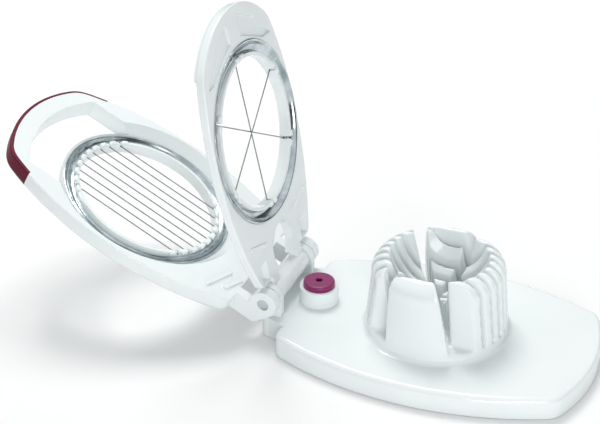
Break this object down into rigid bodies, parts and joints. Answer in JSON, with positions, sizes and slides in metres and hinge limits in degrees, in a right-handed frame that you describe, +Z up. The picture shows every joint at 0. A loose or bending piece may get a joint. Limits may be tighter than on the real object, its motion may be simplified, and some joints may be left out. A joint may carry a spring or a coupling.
{
  "type": "egg slicer",
  "caption": "Hinged egg cutter: a finned cup on a base, a slicing frame with parallel wires, a wedge frame with crossing wires, and a spring-loaded egg piercer button.",
  "frame": {"origin": "on the flat underside of the base, straight below the middle of the egg cup", "axes": "X from the hinge to the free end of the base, Y along the hinge pin, Z up"},
  "size_m": [0.2611, 0.0954, 0.139],
  "materials": {
    "white_plastic": "glossy moulded white",
    "button_plastic": "satin burgundy",
    "grip_rubber": "soft satin burgundy",
    "steel": "drawn steel",
    "polished_steel": "polished steel"
  },
  "bodies": {
    "base": {"base_shell": "white_plastic", "base_cover": "white_plastic", "egg_cup": "white_plastic", "hinge_pin": "steel", "piercer_needle": "steel", "piercer_spring": "steel"},
    "button": {"piercer_button": "button_plastic"},
    "wedger": {"wedger_frame": "white_plastic", "wedger_ring": "polished_steel", "wedger_wire_1": "steel", "wedger_wire_2": "steel", "wedger_wire_3": "steel"},
    "slicer": {"slicer_frame": "white_plastic", "slicer_ring": "polished_steel", "slicer_grip": "grip_rubber", "slicer_wire_1": "steel", "slicer_wire_2": "steel", "slicer_wire_3": "steel", "slicer_wire_4": "steel", "slicer_wire_5": "steel", "slicer_wire_6": "steel", "slicer_wire_7": "steel", "slicer_wire_8": "steel", "slicer_wire_9": "steel"}
  },
  "joints": [
    {"name": "wedger_hinge", "type": "hinge", "parent": "base", "child": "wedger", "pos_m": [-0.069, 0, 0.0175], "axis": [0, -1, 0], "range_deg": [-102.5, 0]},
    {"name": "slicer_hinge", "type": "hinge", "parent": "wedger", "child": "slicer", "pos_m": [-0.069, 0, 0.0175], "axis": [0, -1, 0], "range_deg": [-50.5, 0]},
    {"name": "piercer_press", "type": "slide", "parent": "base", "child": "button", "axis": [0, 0, -1], "range_m": [0, 0.004], "stiffness_N_per_m": 250, "springref_m": -0.004, "deforming": ["piercer_spring"]}
  ]
}
